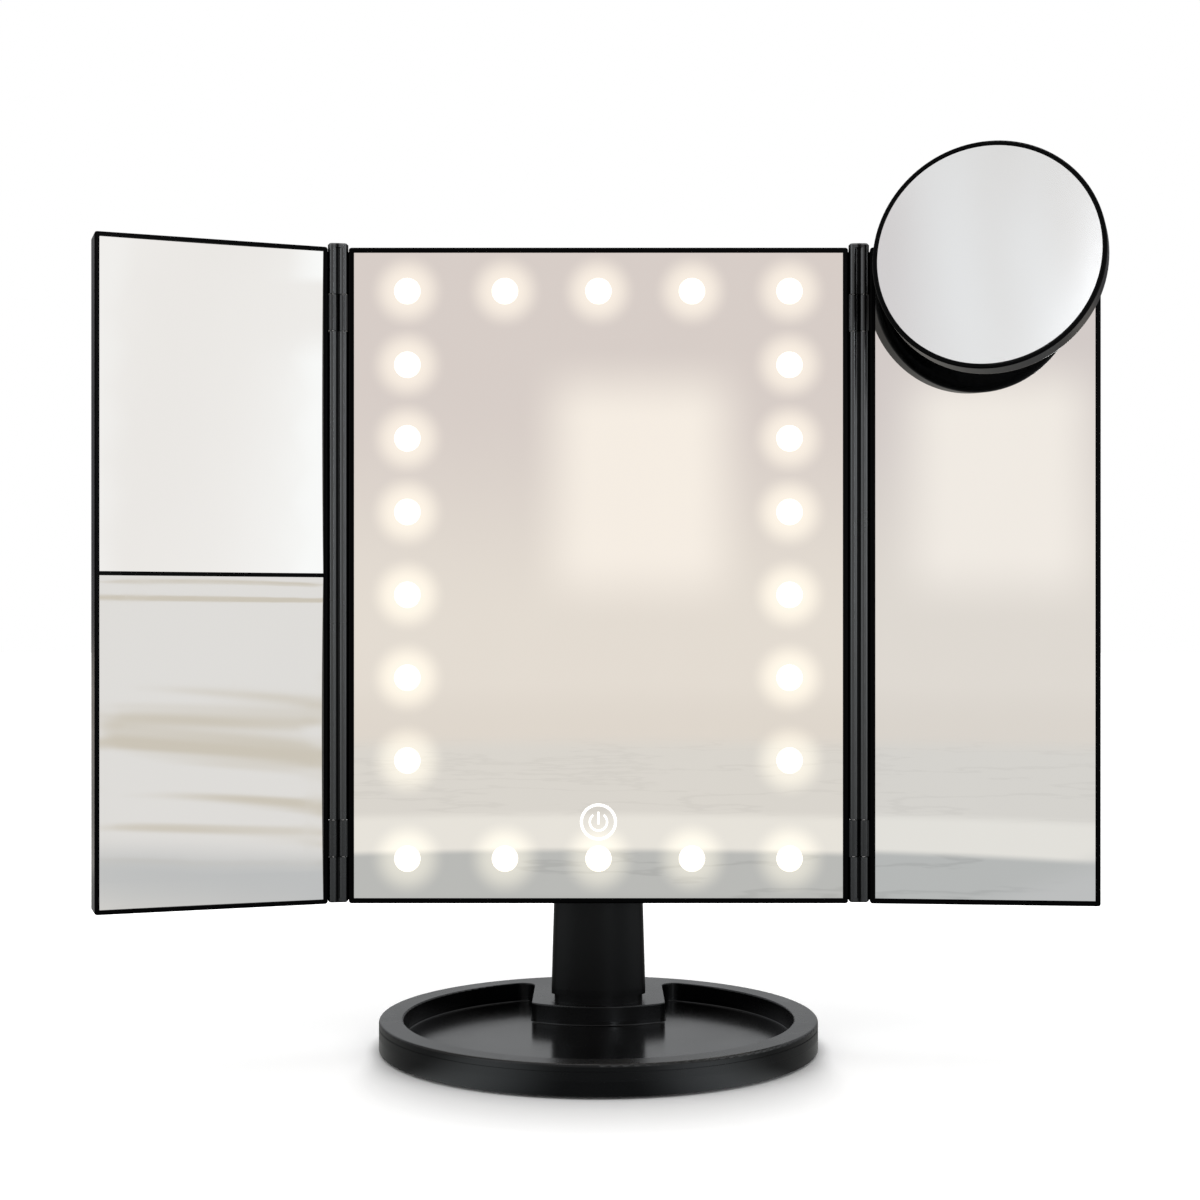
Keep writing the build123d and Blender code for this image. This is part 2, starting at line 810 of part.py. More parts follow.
def leds():
    wide, deep, tall = led_size
    made = []
    for x, w in lamp_points:
        z = panel_bottom + w
        body = block((x - wide / 2, x + wide / 2), (led_depth, led_board_front),
                     (z - tall / 2, z + tall / 2))
        body -= Pos(x, led_depth, z) * Rot(90, 0, 0) * Cone(0.9, 1.2, 0.8)
        made.append(body)
    return together(made)


def control_board():
    z = panel_bottom + control_board_height
    low = z - control_board_tall / 2
    touch_bottom = panel_bottom + touch_height - 4
    front = control_board_front
    body = block((-control_board_half, control_board_half), (front, front + board_thickness),
                 (low, low + control_board_tall))
    body += block((-5, 5), (front, front + board_thickness), (touch_bottom, low + 1))
    chip = block((-3.5, 3.5), (front - 1.4, front), (z - 2.5, z + 2.5))
    coil = rod("Y", 3.0, front - 2.2, front, (control_coil_inset - control_board_half, z))
    cap = rod("Y", 2.2, front - 2.6, front, (control_board_half - control_cap_inset, z + 2))
    return body + chip + coil + cap


def lamp_leads():
    """Flat leads from the control board to the lamp boards."""
    front = control_board_front
    depth = (front, front + board_thickness)
    z = panel_bottom + control_board_height
    left = block((-lamp_board_inner, -control_board_half), depth, (z + 4, z + 6))
    right = block((control_board_half, lamp_board_inner), depth, (z + 4, z + 6))
    return together([left, right])


def socket_board():
    """Board for the inlet and the switch, with its flat lead to the control board's edge."""
    wide, tall = socket_board_size
    x, z = socket_board_x, panel_bottom + socket_board_height
    front = socket_board_depth
    depth = (front, front + board_thickness)
    body = block((x - wide / 2, x + wide / 2), depth, (z - tall / 2, z + tall / 2))
    lead_z = (z + tall / 2 - 3, z + tall / 2 - 1)
    return body + block((control_board_half, x - wide / 2), depth, lead_z)


def usb_centre():
    return (socket_board_x + usb_offset, panel_bottom + socket_board_height)


def switch_centre():
    return (socket_board_x + switch_offset, panel_bottom + socket_board_height)


def rounded_slot(size, centre, depth, round_by):
    """A rounded rectangular prism along Y."""
    wide, tall = size
    x, z = centre
    body = block((x - wide / 2, x + wide / 2), depth, (z - tall / 2, z + tall / 2))
    return fillet(body.edges().filter_by(Axis.Y), round_by)


def usb_socket():
    """USB-C receptacle that faces backwards, with its tongue."""
    outer = (usb_size[0] + 2 * usb_shell, usb_size[1] + 2 * usb_shell)
    low = socket_board_depth + board_thickness
    depth = (low, panel_thickness - 0.3)
    body = rounded_slot(outer, usb_centre(), depth, outer[1] * 0.42)
    body -= rounded_slot(usb_size, usb_centre(), (low + 1, panel_thickness), usb_size[1] * 0.42)
    x, z = usb_centre()
    tongue = block((x - 3.2, x + 3.2), (low + 0.5, panel_thickness - 1.2), (z - 0.35, z + 0.35))
    return body + tongue


def power_switch_body():
    wide, tall = switch_body_size
    x, z = switch_centre()
    low = socket_board_depth + board_thickness
    high = cover_inner - 0.2
    body = block((x - wide / 2, x + wide / 2), (low, high), (z - tall / 2, z + tall / 2))
    slot_half = (switch_knob[0] + switch_travel) / 2 + loose
    knob_half = switch_knob[1] / 2 + loose
    return body - block((x - slot_half, x + slot_half), (high - 2.0, high + 1),
                        (z - knob_half, z + knob_half))


def power_switch_knob():
    """Slide knob, drawn at the end of its travel where the mirror is on."""
    wide, tall = switch_knob
    x, z = switch_centre()
    x += switch_travel / 2
    low = cover_inner - 0.2 - 2.0 + running
    high = panel_thickness + switch_rise
    body = block((x - wide / 2, x + wide / 2), (low, high), (z - tall / 2, z + tall / 2))
    body = fillet(body.edges().group_by(Axis.Y)[-1], 0.3)
    for dx in (-0.8, 0, 0.8):
        body -= block((x + dx - 0.15, x + dx + 0.15), (high - 0.3, high + 1), (z - 3, z + 3))
    return body


def centre_back_cover(rows):
    body = place_centre(panel_cover(centre_width, rows))
    for x, z in bracket_screw_points():
        body += rod("Y", bracket_boss_radius, led_board_back, cover_inner + root, (x, z))
        body -= rod("Y", bracket_screw[0] + fit, led_board_back + 0.6, panel_back + 1, (x, z))
    half = lamp_board_width / 2 - 1
    rest = (led_board_back, cover_inner + root)
    for u in lamp_columns:
        for w in (lamp_bottom + post_offset, panel_height / 2, lamp_top - post_offset):
            z = panel_bottom + w
            body += block((u - half, u + half), rest, (z - half, z + half))
    for u in (-lamp_row_pitch - post_offset, lamp_row_pitch + post_offset):
        for w in (lamp_bottom, lamp_top):
            z = panel_bottom + w
            body += block((u - half, u + half), rest, (z - half, z + half))
    z = panel_bottom + control_board_height
    control_post = control_board_half - board_post_inset - board_post_radius
    for x in (-control_post, control_post):
        body += rod("Y", board_post_radius, control_board_front + board_thickness,
                    cover_inner + root, (x, z))
    z = panel_bottom + socket_board_height
    socket_post = socket_board_size[0] / 2 - board_post_radius - loose
    for x in (socket_board_x - socket_post, socket_board_x + socket_post):
        body += rod("Y", board_post_radius, socket_board_depth + board_thickness,
                    cover_inner + root, (x, z))
    usb_hole = (usb_size[0] + 2 * usb_shell + 0.6, usb_size[1] + 2 * usb_shell + 0.6)
    body -= rounded_slot(usb_hole, usb_centre(), (cover_inner - 1, panel_back + 1),
                         usb_hole[1] * 0.42)
    knob_slot = (switch_knob[0] + switch_travel + 2 * loose, switch_knob[1] + 2 * loose)
    body -= rounded_slot(knob_slot, switch_centre(), (cover_inner - 1, panel_back + 1), 0.4)
    return body


# ---------------------------------------------------------------- wings
def wing_place(angle):
    """Where a wing drawn at the right side goes when it is open by angle."""
    half = radians(angle / 2)
    axis_x = centre_width / 2 + hinge_edge_gap + hinge_pitch * cos(half)
    axis_y = hinge_inset - hinge_pitch * sin(half)
    return (Pos(axis_x, axis_y, panel_bottom) * Rot(0, 0, -angle)
            * Pos(hinge_edge_gap, -hinge_inset, 0))


def link_place(angle):
    """Where a hinge link goes: on the centre panel's axis, turned by half the wing's angle."""
    axis_x = centre_width / 2 + hinge_edge_gap
    return Pos(axis_x, hinge_inset, panel_bottom) * Rot(0, 0, -angle / 2)


def add_side(side, name, shape, place):
    placed = place * shape
    if side == "left":
        placed = mirror(placed, about=Plane.YZ)
    add(f"{side}_{name}", placed)


def link_section(radius):
    """Two round lobes joined by a web, with the first hinge axis at the origin."""
    return (Circle(radius) + Pos(hinge_pitch, 0) * Circle(radius)
            + Pos(hinge_pitch / 2, 0) * Rectangle(hinge_pitch, hinge_web))


def hinge_spine(low, high):
    """Flat back of a hinge link, which passes behind the knuckles."""
    front = hinge_lobe_radius + hinge_spine_gap
    return block((-hinge_spine_overlap, hinge_pitch + hinge_spine_overlap),
                 (front, front + hinge_spine_thickness), (low, high))


def link_piece(low, high):
    """A length of the link's two lobes, joined to its flat back."""
    neck = block((0, hinge_pitch), (0, hinge_lobe_radius + hinge_spine_thickness), (low, high))
    return prism(link_section(hinge_lobe_radius), low, high) + neck + hinge_spine(low, high)


def hinge_cap(length):
    """The link's end block, drawn upwards, closed over both lobes by a chamfered crown."""
    body = link_piece(0, length - hinge_crown_chamfer)
    stadium = Pos(hinge_pitch / 2, 0) * SlotCenterToCenter(hinge_pitch, 2 * hinge_lobe_radius)
    crown = prism(stadium, length - hinge_crown, length)
    body += chamfer(crown.edges().group_by(Axis.Z)[-1], hinge_crown_chamfer)
    for x in (0.0, hinge_pitch):
        body -= rod("Z", hinge_pin_radius + fit, 0, hinge_pin_grip, (x, 0))
    return body


def hinge_link(side, angle):
    place = link_place(angle)
    pin_hole = hinge_pin_radius + fit
    axes = (0.0, hinge_pitch)
    lower, upper = knuckle_spans
    strip = link_piece(lower[1], upper[0]) + hinge_spine(lower[0], upper[1])
    for x in axes:
        strip -= rod("Z", pin_hole, lower[1], lower[1] + hinge_pin_grip, (x, 0))
        strip -= rod("Z", pin_hole, upper[0] - hinge_pin_grip, upper[0], (x, 0))
    top = Pos(0, 0, upper[1]) * hinge_cap(panel_height + hinge_rise - upper[1])
    bottom = Pos(0, 0, lower[0]) * mirror(hinge_cap(lower[0] - hinge_rise / 4), about=Plane.XY)
    pins = []
    grip = hinge_pin_grip - 0.5
    for low, high in knuckle_spans:
        for x in axes:
            pins.append(rod("Z", hinge_pin_radius, low - grip, high + grip, (x, 0)))
    add_side(side, "hinge_strip", strip, place)
    add_side(side, "hinge_caps", together([top, bottom]), place)
    add_side(side, "hinge_pins", together(pins), place)


def wing(side, angle, panes):
    """A wing: frame, glass, foam, back cover and screws. panes are (low, high, curve)."""
    rows = 2
    place = wing_place(angle)
    sags = [curve - sqrt(curve ** 2 - hypot(wing_width / 2, (high - low) / 2) ** 2)
            if curve else 0.0 for low, high, curve in panes]
    ledge_front = glass_back + max(sags) + foam_thickness
    frame = panel_frame(wing_width, rows, ledge_front)
    if len(panes) > 1:
        middle = panel_height / 2
        frame += block((frame_wall - 0.5, wing_width - frame_wall + 0.5),
                       (0.2, ledge_front + ledge_thickness),
                       (middle - divider_width / 2, middle + divider_width / 2))
    frame = frame_with_knuckles(frame, [(0, -1)])
    add_side(side, "wing_frame", frame, place)
    names = ("upper_mirror", "lower_mirror") if len(panes) > 1 else ("mirror",)
    for name, (low, high, curve) in zip(names, panes):
        if curve:
            pane = curved_glass(wing_width, low, high, curve)
        else:
            pane = flat_glass(wing_width, low, high)
        add_side(side, name, pane, place)
    spans = [(low, high) for low, high, curve in panes]
    foam = foam_strips(wing_width, ledge_front - foam_thickness, spans)
    add_side(side, "mirror_foam", foam, place)
    add_side(side, "back_cover", panel_cover(wing_width, rows), place)
    add_side(side, "cover_screws", panel_screws(wing_width, rows), place)


# ---------------------------------------------------------------- round magnifier
# Drawn about the ball's centre, facing -Y.
def spot_mount_place():
    """The ball's centre, on the right wing."""
    cup_w = panel_height - frame_wall - cup_radius - cup_drop
    return wing_place(right_wing_angle) * Pos(cup_u, glass_recess - cup_standoff, cup_w)


def spot_place():
    return spot_mount_place() * Rot(0, 0, -spot_pan) * Rot(-spot_tilt, 0, 0)


def suction_cup():
    """Soft cup that is pressed on the glass."""
    high = cup_standoff - running
    low = high - cup_height
    face = Plane.XY * make_face(Polyline(
        (0, low), (hub_radius, low), (hub_radius + 1.0, low + 1.2), (cup_radius, high - 0.5),
        (cup_radius, high), (cup_radius - 3.0, high), (0, high - 0.5), close=True,
    ))
    return revolve(face, Axis.Y)


def cup_stem():
    """Hub, stem and ball in one moulding."""
    cup_low = cup_standoff - running - cup_height
    hub = rod("Y", hub_radius, cup_low - hub_thickness, cup_low)
    hub = fillet(hub.edges().group_by(Axis.Y)[0], 0.8)
    return hub + rod("Y", stem_radius, 0, cup_low - 1) + Sphere(ball_radius)


def opening_cone(half_angle, reach):
    """A cone of space from the ball's centre towards +Y."""
    radius = reach * sin(radians(half_angle))
    depth = reach * cos(radians(half_angle))
    return Pos(0, depth / 2, 0) * Rot(-90, 0, 0) * Cone(0.01, radius, depth)


def socket_liner():
    inner = ball_radius + running
    body = Sphere(inner + liner_thickness) - Sphere(inner)
    body -= opening_cone(stem_opening, spot_radius)
    return body - Rot(0, 0, 180) * opening_cone(stem_opening / 2, spot_radius)


def socket_collar():
    inner = ball_radius + liner_thickness + 2 * running
    front = -(inner + 0.6)
    body = rod("Y", collar_radius, front, collar_back)
    body = fillet(body.edges(), 0.7)
    for i in range(12):
        body -= Rot(0, 30 * i, 0) * block((collar_radius - 0.35, collar_radius + 1),
                                          (-0.5 * collar_radius + 0.5, collar_back - 1.2),
                                          (-0.6, 0.6))
    return body - Sphere(inner) - opening_cone(stem_opening, spot_radius)


def round_mirror_shell():
    back = -(spot_reach - spot_depth)
    front = -spot_reach + spot_bezel_depth
    at = (0, spot_offset)
    body = rod("Y", spot_radius, front, back, at)
    body = fillet(body.edges().group_by(Axis.Y)[-1], spot_back_round)
    body -= rod("Y", spot_radius - spot_wall, front - 1, back - spot_wall, at)
    seat = -(ball_radius + liner_thickness + 2 * running + 0.6) - loose
    body += rod("Y", collar_radius - 0.8, back - 0.5, seat)
    return body


def round_mirror_bezel():
    front = -spot_reach
    at = (0, spot_offset)
    inner = spot_radius - spot_bezel_width
    body = tube("Y", spot_radius, inner, front, front + spot_bezel_depth, at)
    body = fillet(body.edges().group_by(Axis.Y)[0], 0.6)
    lip = tube("Y", spot_radius - spot_wall - loose, inner, front + spot_bezel_depth - 0.2,
               front + spot_bezel_depth + 1.4, at)
    return body + lip


def spot_glass_radius():
    return spot_radius - spot_bezel_width - running


def round_mirror_glass():
    """Concave magnifying glass of even thickness."""
    radius = spot_glass_radius()
    drop = sqrt(spot_curve_radius ** 2 - radius ** 2)
    edge = -spot_reach + 0.4
    middle = Pos(0, edge - drop, spot_offset)
    shell = middle * Sphere(spot_curve_radius + spot_glass_thickness)
    shell -= middle * Sphere(spot_curve_radius)
    return shell & rod("Y", radius, edge, edge + 12, (0, spot_offset))


def round_mirror_spacer():
    """Ring in the shell that carries the glass's edge."""
    radius = spot_glass_radius()
    front = -spot_reach + 0.4 + spot_glass_thickness + 1.1
    back = -(spot_reach - spot_depth) - spot_wall
    return tube("Y", radius - 0.6, radius - 5.0, front, back, (0, spot_offset))


def round_mirror():
    mount = spot_mount_place()
    spot = spot_place()
    add("suction_cup", mount * suction_cup())
    add("cup_stem", mount * cup_stem())
    add("socket_liner", spot * socket_liner())
    add("socket_collar", spot * socket_collar())
    add("round_mirror_shell", spot * round_mirror_shell())
    add("round_mirror_bezel", spot * round_mirror_bezel())
    add("round_mirror_glass", spot * round_mirror_glass())
    add("round_mirror_spacer", spot * round_mirror_spacer())


# ---------------------------------------------------------------- assembly
def base_and_column():
    add("base_tray", base_tray())
    add("base_cover", base_cover())
    add("base_weights", base_weights())
    add("anti_slip_pad", anti_slip_pad())
    add("base_cover_screws", base_cover_screws())
    body = column_body()
    add("column_front_shell", column_front_shell(body))
    add("column_rear_shell", column_rear_shell(body))
    add("column_screws", column_screws())
    add("battery_tray", battery_tray())
    add("battery_cells", battery_cells())
    add("battery_contacts", battery_contacts())
    add("battery_door", battery_door())
    lead = rod("Z", lead_radius, battery_high - tray_wall / 2,
               tilt_height - tilt_shaft_radius - break_gap, (0, tilt_axis_y))
    add("battery_lead", lead)


def tilt_hinge():
    add("tilt_lug", tilt_lug())
    add("tilt_bracket", tilt_bracket())
    add("tilt_shaft", tilt_shaft())
    add("tilt_washers", tilt_washers())
    add("tilt_caps", tilt_caps())
    add("bracket_screws", bracket_screws())


def panels():
    centre_panel()
    low = frame_wall + running
    high = panel_height - low
    middle = panel_height / 2
    gap = divider_width / 2 + running
    hinge_link("left", left_wing_angle)
    wing("left", left_wing_angle, [(middle + gap, high, pane_radius_upper),
                                   (low, middle - gap, pane_radius_lower)])
    hinge_link("right", right_wing_angle)
    wing("right", right_wing_angle, [(low, high, 0.0)])


base_and_column()
tilt_hinge()
panels()
round_mirror()

os.makedirs("parts", exist_ok=True)
for name, shape in pieces.items():
    export_step(shape, f"parts/{name}.step")
print(len(pieces), "pieces")
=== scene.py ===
"""The looks of a lighted trifold vanity mirror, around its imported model.

Metres, in the model's own frame: X to the right, Y to the back, Z up. The viewer stands on
the -Y side. Colours are linear.
"""
import math

import bmesh
import bpy
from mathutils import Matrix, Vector


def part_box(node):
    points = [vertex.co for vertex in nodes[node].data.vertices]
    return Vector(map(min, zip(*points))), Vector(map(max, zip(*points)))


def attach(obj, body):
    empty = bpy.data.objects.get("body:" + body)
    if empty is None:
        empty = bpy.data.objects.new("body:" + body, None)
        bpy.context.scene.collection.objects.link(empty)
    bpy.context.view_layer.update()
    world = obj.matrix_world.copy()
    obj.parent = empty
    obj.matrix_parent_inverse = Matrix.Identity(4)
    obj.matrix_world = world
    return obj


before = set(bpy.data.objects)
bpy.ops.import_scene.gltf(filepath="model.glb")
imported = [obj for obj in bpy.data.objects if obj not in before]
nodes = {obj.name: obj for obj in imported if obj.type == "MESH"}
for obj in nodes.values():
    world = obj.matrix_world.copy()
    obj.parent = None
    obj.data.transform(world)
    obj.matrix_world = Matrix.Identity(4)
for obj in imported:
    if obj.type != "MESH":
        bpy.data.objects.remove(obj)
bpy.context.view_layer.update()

# ------------------------------------------------------------------ named sizes
# camera: level, square to the centre panel
camera_place = (0.0, -0.700, 0.1527)
camera_lens = 57.27
camera_shift = (0.0013, 0.0250)

# lit windows in the centre glass: rings by their share of the radius, and the share of the
# crown that has fallen away at the rim; then a painted glow on the glass around the windows
window_radius = 0.0048
window_proud = 0.00006
window_rings = (0.55, 0.8, 0.93, 1.0)
window_fall = 0.8
window_segments = 48
window_strength = 1.15
glow_reach = 0.0098
glow_strength = 0.27

# touch symbol: ring, open arc and bar
symbol_radius = 0.00625
symbol_stroke = 0.00096
symbol_steps = 72
arc_radius = 0.00318
arc_stroke = 0.00070
arc_opening = 38.0
arc_steps = 40
bar_top = 0.0037
bar_bottom = -0.0009
symbol_proud = 0.00005

# the tray's floor is glossier than the rest of the base: up to a height this far below the
# column's foot, which is a little above the floor
gloss_drop = 0.0060
tray_roughness = 0.17

# corners of a CAD mesh that are closer than this are one
weld_gap = 1e-6

# the range that most values of a noise lie in
noise_span = (0.3, 0.7)

# moulded plastics: grain, drifts and wipe marks
grain_depth = 0.00003
drift_spread = 0.10
tone_spread = 0.14
wipe_span = (0.55, 0.75)
wipe_polish = 0.035
plastic_ior = 1.45
gloss_step = 0.0006
# faces that look up from here on take a painted sheen of their own
facing_up = (0.5, 0.9)

# hinges: painted sheen on the knuckles around the axes, and a painted highlight as a stripe
# of sheen along the ridges in front of them, with little sheen between
knuckle_specular = 0.75
knuckle_reach = 0.0019
knuckle_soft = 0.0002
ridge_specular = 1.0
ridge_reach = 0.0008
ridge_soft = 0.0009

# mirror glass, with its smears
silver_blur = 0.006
round_blur = 0.20
smear_span = (0.45, 0.8)
smear_blur = 0.016
smear_shade = 0.975

# lit faces: where the rim's colour sets in, and its share there
rim_span = (0.6, 1.0)
rim_share = 0.9

# circuit boards: the tracks under the mask
track_scale = 480.0
track_wander = 1.5
track_span = (0.7, 0.9)

# directions in which a grain is drawn out
even = (1.0, 1.0, 1.0)
drawn_along_x = (0.05, 1.0, 1.0)
drawn_along_z = (1.0, 1.0, 0.05)

# ------------------------------------------------------------------ named colours
white = (1.0, 1.0, 1.0)
black_plastic = (0.0042, 0.0042, 0.0046)
deep_black = (0.0009, 0.0009, 0.0010)
sheen_tint = (0.88, 0.94, 1.0)
natural_nylon = (0.62, 0.60, 0.55)
pad_black = (0.012, 0.012, 0.012)
lead_red = (0.30, 0.02, 0.02)
lug_black = (0.016, 0.016, 0.017)
weight_grey = (0.52, 0.52, 0.53)
screw_black = (0.09, 0.09, 0.095)
bright_steel = (0.62, 0.62, 0.63)
nickel = (0.68, 0.66, 0.62)
copper = (0.80, 0.42, 0.26)
vinyl_clear = (0.86, 0.88, 0.90)
opal_dim = (0.86, 0.84, 0.80)
opal_bright = (0.92, 0.90, 0.87)
opal_face = (0.9, 0.88, 0.84)
mask_green = (0.012, 0.10, 0.045)
track_green = (0.03, 0.19, 0.08)
foam_dark = (0.20, 0.20, 0.20)
foam_light = (0.34, 0.34, 0.34)
sleeve_dark = (0.035, 0.038, 0.042)
sleeve_light = (0.06, 0.062, 0.068)
lamp_white = (1.0, 0.965, 0.90)
lamp_edge = (1.0, 0.86, 0.62)
glow_warm = (1.0, 0.92, 0.70)
symbol_white = (1.0, 0.99, 0.96)
warm_silver = (0.93, 0.925, 0.915)
cool_silver = (0.885, 0.90, 0.915)
plain_silver = (0.82, 0.865, 0.915)

# ------------------------------------------------------------------ named studio
# the soft room that mirrors show, by the X, Y and Z shares of a direction
wall_low = (0.84, 0.78, 0.71)
wall_high = (0.74, 0.67, 0.635)
wall_rise = (0.0, 0.13)
patch_light = (1.0, 0.93, 0.85)
patch_side = (-0.022, 0.066)
patch_up = (0.022, 0.128)
patch_soft = 0.02
curtain_light = (1.0, 0.97, 0.93)
curtain_fold = (0.80, 0.735, 0.675)
curtain_stretch = (26.0, 2.0, 1.2)
curtain_tones = (0.34, 0.62)
curtain_start = (0.16, 0.30)
pane_light = (1.08, 1.07, 1.04)
pane_side = (0.482, 0.56)
pane_up = (0.03, 0.16)
pane_soft = 0.006
mullion_side = (0.501, 0.506)
mullion_up = (0.118, 0.124)
mullion_soft = 0.002
wall_behind = (0.62, 0.63, 0.64)
behind_start = (0.2, 0.6)
flag_grey = (0.20, 0.20, 0.21)
flag_side = (0.25, 0.45)
flag_back = (-0.25, 0.05)
flag_top = (0.12, 0.32)
room_light = (0.62, 0.62, 0.62)

# the counter that mirrors show on the floor, by the distance from the middle
counter_front = (0.53, 0.535, 0.52)
counter_edge = (0.87, 0.84, 0.78)
counter_top = (0.76, 0.73, 0.68)
counter_far = (0.80, 0.74, 0.67)
edge_start = (0.60, 0.65)
edge_end = (0.83, 0.93)
far_start = (1.65, 2.15)
wall_start = (1.9, 5.0)
vein_band = (0.485, 0.515)
vein_soft = 0.012
vein_share_front = 0.35
vein_shade_front = 0.7
vein_share_top = 0.25
vein_shade_top = 0.8

# the shelf that stands on it, by the X share of the direction
shelf_side = (0.36, 0.66)
shelf_soft = 0.05
shelf_near = (0.58, 0.58, 0.57)
shelf_far = (0.84, 0.81, 0.77)
shelf_dark = (0.68, 0.62, 0.52)
shelf_turn = (1.50, 1.66)
shelf_things = (0.50, 0.64)

# the floor near the object, as its gloss shows it: a painted shade, and a painted highlight
# beside the front for what is close above it, which is the base's wall
near_reach = (0.26, 0.42)
near_side = (0.15, 0.62)
near_front = (-0.80, -0.48)
near_hop = (0.08, 0.13)
near_shade = 0.52
near_glow = 3.9

# the pale floor and the object's shadow on it, partly real and partly a painted shadow: the
# floor's glow is held back near the base, so the shadow fades outwards from the base, and
# reaches further in front, by the Y share of the direction, than at the sides and behind
floor_reach = 12.0
floor_dim = (0.73, 0.73, 0.73)
floor_pale = (0.75, 0.75, 0.75)
shadow_edge = 0.078
shadow_front = 0.072
shadow_side = 0.008
shadow_turn = (-1.15, -0.2)
shadow_wide = (0.12, 0.55)
shadow_share = 0.36

# lights: places, sizes and watts
light_aim = (0.0, 0.0, 0.12)
top_place = (0.0, 0.25, 1.5)
top_size = (1.6, 1.2)
top_power = 9.0
beside_place = (1.25, -0.8, 0.7)
beside_size = (0.9, 1.6)
beside_power = 6.0
strip_place = (0.42, -1.45, 0.42)
strip_size = (0.06, 0.6)
strip_power = 1.6


# ------------------------------------------------------------------ camera
def make_camera():
    data = bpy.data.cameras.new("camera")
    data.lens = camera_lens
    data.shift_x, data.shift_y = camera_shift
    camera = bpy.data.objects.new("camera", data)
    camera.location = camera_place
    camera.rotation_euler = (math.radians(90), 0.0, 0.0)
    bpy.context.scene.collection.objects.link(camera)
    bpy.context.scene.camera = camera


# ------------------------------------------------------------------ node helpers
class Shader:
    """A material's or a world's node tree, with short ways to add nodes to it."""

    def __init__(self, tree):
        self.tree = tree
        self.tree.nodes.clear()

    def node(self, kind, **settings):
        made = self.tree.nodes.new(kind)
        for name, value in settings.items():
            setattr(made, name, value)
        return made

    def feed(self, socket, value):
        """Links a socket, or sets its value."""
        if isinstance(value, bpy.types.NodeSocket):
            self.tree.links.new(value, socket)
        elif isinstance(value, tuple) and len(value) == 3 and len(socket.default_value) == 4:
            socket.default_value = (*value, 1.0)
        else:
            socket.default_value = value

    def coordinates(self, kind="Object"):
        """The object's own coordinates, one unit to a metre, or another kind."""
        return self.node("ShaderNodeTexCoord").outputs[kind]

    def split(self, vector):
        """The X, Y and Z of a vector."""
        made = self.node("ShaderNodeSeparateXYZ")
        self.feed(made.inputs[0], vector)
        return made.outputs

    def distance(self, vector, point):
        made = self.node("ShaderNodeVectorMath", operation="DISTANCE")
        self.feed(made.inputs[0], vector)
        made.inputs[1].default_value = point
        return made.outputs["Value"]

    def maths(self, operation, *values, clamp=False):
        made = self.node("ShaderNodeMath", operation=operation, use_clamp=clamp)
        for socket, value in zip(made.inputs, values):
            self.feed(socket, value)
        return made.outputs[0]

    def ramp(self, value, low, high, start=0.0, end=1.0):
        """A smooth step of a value, from start at low to end at high."""
        made = self.node("ShaderNodeMapRange", interpolation_type="SMOOTHSTEP")
        for name, number in (("From Min", low), ("From Max", high), ("To Min", start),
                             ("To Max", end)):
            self.feed(made.inputs[name], number)
        self.feed(made.inputs["Value"], value)
        return made.outputs["Result"]

    def vary(self, noise, low, high, span=noise_span):
        """A value that follows a noise from low to high, over a span of the noise."""
        return self.ramp(noise, *span, low, high)

    def band(self, value, low, high, soft):
        """1 between low and high, with soft sides."""
        rise = self.ramp(value, low - soft, low + soft)
        return self.maths("MULTIPLY", rise, self.ramp(value, high - soft, high + soft, 1.0, 0.0))

    def mix(self, factor, first, second):
        """A mix of two colours."""
        made = self.node("ShaderNodeMix", data_type="RGBA")
        self.feed(made.inputs["Factor"], factor)
        self.feed(made.inputs["A"], first)
        self.feed(made.inputs["B"], second)
        return made.outputs["Result"]

    def noise(self, scale, detail=2.0, roughness=0.5, stretch=even, over=None):
        """Noise over the object's own coordinates, or over another vector."""
        if over is None:
            over = self.coordinates()
        mapping = self.node("ShaderNodeMapping")
        mapping.inputs["Scale"].default_value = stretch
        self.feed(mapping.inputs["Vector"], over)
        made = self.node("ShaderNodeTexNoise")
        made.inputs["Scale"].default_value = scale
        made.inputs["Detail"].default_value = detail
        made.inputs["Roughness"].default_value = roughness
        self.feed(made.inputs["Vector"], mapping.outputs["Vector"])
        return made.outputs["Fac"]

    def near_axes(self, axes, reach, soft, away, near, across=(1.0, 1.0, 0.0)):
        """One value around upright axes given as (x, y), and another value elsewhere.

        across is 1 for the coordinates that the distance counts, and 0 for the others.
        """
        level = self.node("ShaderNodeVectorMath", operation="MULTIPLY")
        self.feed(level.inputs[0], self.coordinates())
        level.inputs[1].default_value = across
        closest = None
        for x, y in axes:
            found = self.distance(level.outputs["Vector"], (x * across[0], y * across[1], 0.0))
            closest = found if closest is None else self.maths("MINIMUM", closest, found)
        return self.ramp(closest, reach, reach + soft, near, away)

    def bump(self, height, strength, distance):
        made = self.node("ShaderNodeBump")
        made.inputs["Strength"].default_value = strength
        made.inputs["Distance"].default_value = distance
        self.feed(made.inputs["Height"], height)
        return made.outputs["Normal"]

    def principled(self, **values):
        """A Principled shader. Names are its sockets', with _ for spaces."""
        made = self.node("ShaderNodeBsdfPrincipled")
        for name, value in values.items():
            self.feed(made.inputs[name.replace("_", " ")], value)
        return made

    def output(self, result, kind="ShaderNodeOutputMaterial"):
        self.feed(self.node(kind).inputs["Surface"], result)

    def surface(self, **values):
        """A Principled shader that is the whole material."""
        self.output(self.principled(**values).outputs["BSDF"])


def shade(colour, share):
    return tuple(part * share for part in colour)


def material(name):
    made = bpy.data.materials.new(name)
    made.use_nodes = True
    return made, Shader(made.node_tree)


def dress(made, *names):
    """Gives a material to CAD nodes."""
    for name in names:
        mesh_object = nodes[name]
        if not mesh_object.material_slots:
            mesh_object.data.materials.append(made)
        for place in mesh_object.material_slots:
            place.material = made


